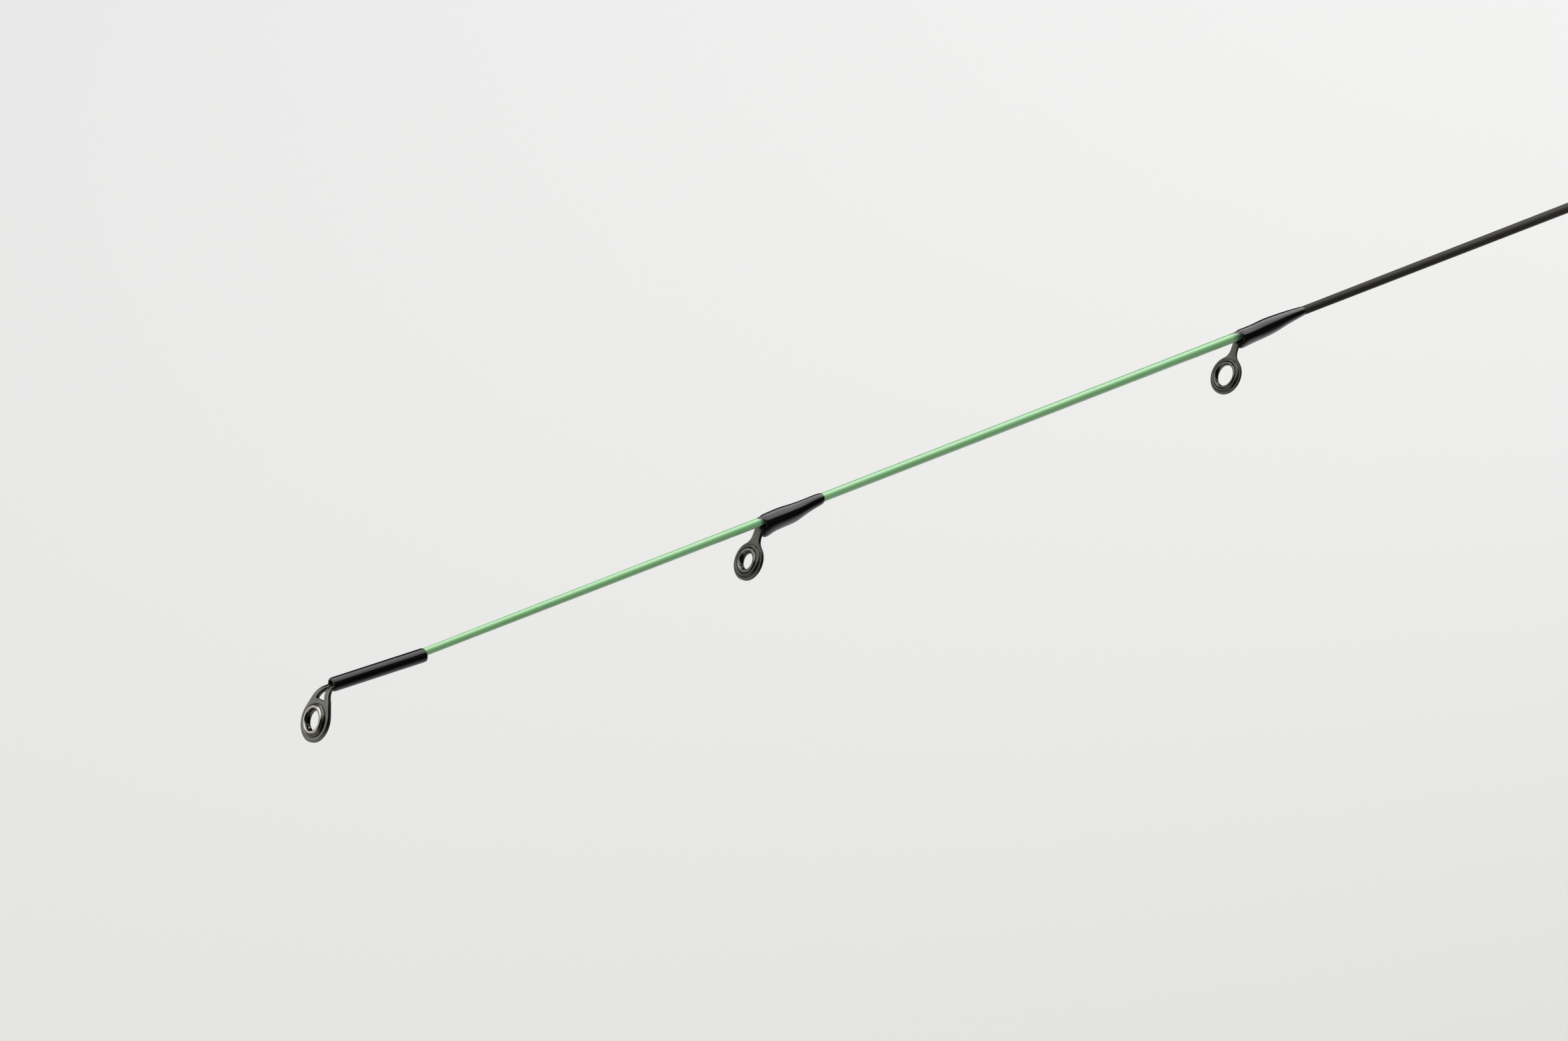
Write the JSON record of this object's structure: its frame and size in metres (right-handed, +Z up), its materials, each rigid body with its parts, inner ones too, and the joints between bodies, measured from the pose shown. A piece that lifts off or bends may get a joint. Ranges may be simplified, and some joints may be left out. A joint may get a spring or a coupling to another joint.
{
  "type": "picker rod",
  "caption": "Slim sectional picker fishing rod with a push-in quiver tip, single-leg line guides, cork grips and a screw-locked reel seat.",
  "frame": {"origin": "centre of the flat end of the butt cap", "axes": "the rod lies along X with its tip towards -X; the guides and the reel hang towards -Z; +Z is up"},
  "size_m": [2.4438, 0.027, 0.0422],
  "materials": {
    "quiver_lacquer": "gloss green lacquer over a solid glass fibre tip, bare and dark past the second guide",
    "carbon_blank": "lacquered dark carbon",
    "guide_frame": "satin gunmetal",
    "guide_ring": "dark polished",
    "tip_ring": "pale polished",
    "whipping": "gloss black varnish over thread",
    "rubber": "matt black",
    "cork": "natural cork",
    "trim": "satin grey",
    "seat": "satin black",
    "bush": "plain, unseen",
    "hood": "satin gunmetal",
    "keeper_wire": "polished wire"
  },
  "bodies": {
    "butt_section": {"butt_blank": "carbon_blank", "blank_end_plug": "rubber", "spigot_whipping": "whipping", "butt_cap": "rubber", "rear_grip": "cork", "fore_grip": "cork", "rear_check": "trim", "fore_check": "trim", "reel_seat_body": "seat", "rear_bush": "bush", "fore_bush": "bush", "fixed_hood": "hood", "keeper_base": "guide_frame", "keeper_wrap": "whipping", "guide_9_frame": "guide_frame", "guide_9_ring": "guide_ring", "guide_9_wrap": "whipping"},
    "tip_section": {"tip_section_blank": "carbon_blank", "socket_whipping": "whipping", "ferrule_whipping": "whipping", "guide_5_frame": "guide_frame", "guide_5_ring": "guide_ring", "guide_5_wrap": "whipping", "guide_6_frame": "guide_frame", "guide_6_ring": "guide_ring", "guide_6_wrap": "whipping", "guide_7_frame": "guide_frame", "guide_7_ring": "guide_ring", "guide_7_wrap": "whipping", "guide_8_frame": "guide_frame", "guide_8_ring": "guide_ring", "guide_8_wrap": "whipping"},
    "quiver_tip": {"quiver_blank": "quiver_lacquer", "tip_top_frame": "guide_frame", "tip_top_ring": "tip_ring", "tip_top_sleeve": "whipping", "guide_1_frame": "guide_frame", "guide_1_ring": "guide_ring", "guide_1_wrap": "whipping", "guide_2_frame": "guide_frame", "guide_2_ring": "guide_ring", "guide_2_wrap": "whipping", "guide_3_frame": "guide_frame", "guide_3_ring": "guide_ring", "guide_3_wrap": "whipping", "guide_4_frame": "guide_frame", "guide_4_ring": "guide_ring", "guide_4_wrap": "whipping"},
    "hood_slider": {"sliding_hood": "hood"},
    "nut": {"lock_nut": "hood"},
    "hook_ring": {"keeper_ring": "keeper_wire"}
  },
  "joints": [
    {"name": "tip_section_pull", "type": "slide", "parent": "butt_section", "child": "tip_section", "axis": [-1, 0, 0], "range_m": [0, 0.065]},
    {"name": "quiver_pull", "type": "slide", "parent": "tip_section", "child": "quiver_tip", "axis": [-1, 0, 0], "range_m": [0, 0.05]},
    {"name": "hood_slide", "type": "slide", "parent": "butt_section", "child": "hood_slider", "axis": [-1, 0, 0], "range_m": [0, 0.012]},
    {"name": "nut_turn", "type": "hinge", "parent": "hood_slider", "child": "nut", "pos_m": [-0.3495, 0, 0], "axis": [-1, 0, 0], "range_deg": [0, 1440]},
    {"name": "keeper_fold", "type": "hinge", "parent": "butt_section", "child": "hook_ring", "pos_m": [-0.4815, 0, -0.00801], "axis": [0, 1, 0], "range_deg": [-80, 80]}
  ],
  "couplings": [
    {"joint": "hood_slide", "follows": "nut_turn", "m_per_rad": 0.00047746}
  ]
}
